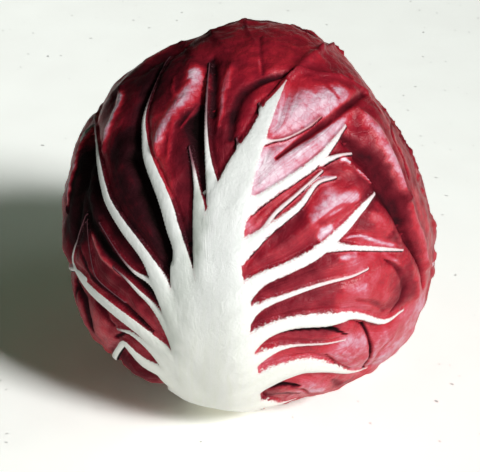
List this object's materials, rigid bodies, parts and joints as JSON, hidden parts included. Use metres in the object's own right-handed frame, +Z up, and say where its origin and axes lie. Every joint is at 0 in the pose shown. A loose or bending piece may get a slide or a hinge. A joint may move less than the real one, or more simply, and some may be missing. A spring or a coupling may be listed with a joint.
{
  "type": "radicchio head",
  "caption": "Round head of red radicchio, wrapped leaves with thick white ribs around a stem core, leaning back a little on its trimmed base",
  "frame": {"origin": "On the surface that the head rests on, inside its flat resting spot and under the middle of the head", "axes": "+Z is up. -Y is the front, where the head shows its front leaf. +X is to the right as seen from the front."},
  "size_m": [0.117, 0.1186, 0.1163],
  "materials": {
    "leaf": "satin",
    "stem": "satin"
  },
  "bodies": {
    "root": {"stem_core": "stem", "front_leaf": "leaf", "back_leaf": "leaf", "right_leaf": "leaf", "left_leaf": "leaf", "middle_leaf_1": "leaf", "middle_leaf_2": "leaf", "middle_leaf_3": "leaf", "middle_leaf_4": "leaf", "middle_leaf_5": "leaf", "middle_leaf_6": "leaf", "heart_leaf_1": "leaf", "heart_leaf_2": "leaf", "heart_leaf_3": "leaf", "heart_leaf_4": "leaf", "heart_leaf_5": "leaf", "heart_leaf_6": "leaf", "heart_leaf_7": "leaf", "heart_leaf_8": "leaf", "heart_leaf_9": "leaf", "heart_leaf_10": "leaf"}
  },
  "joints": []
}
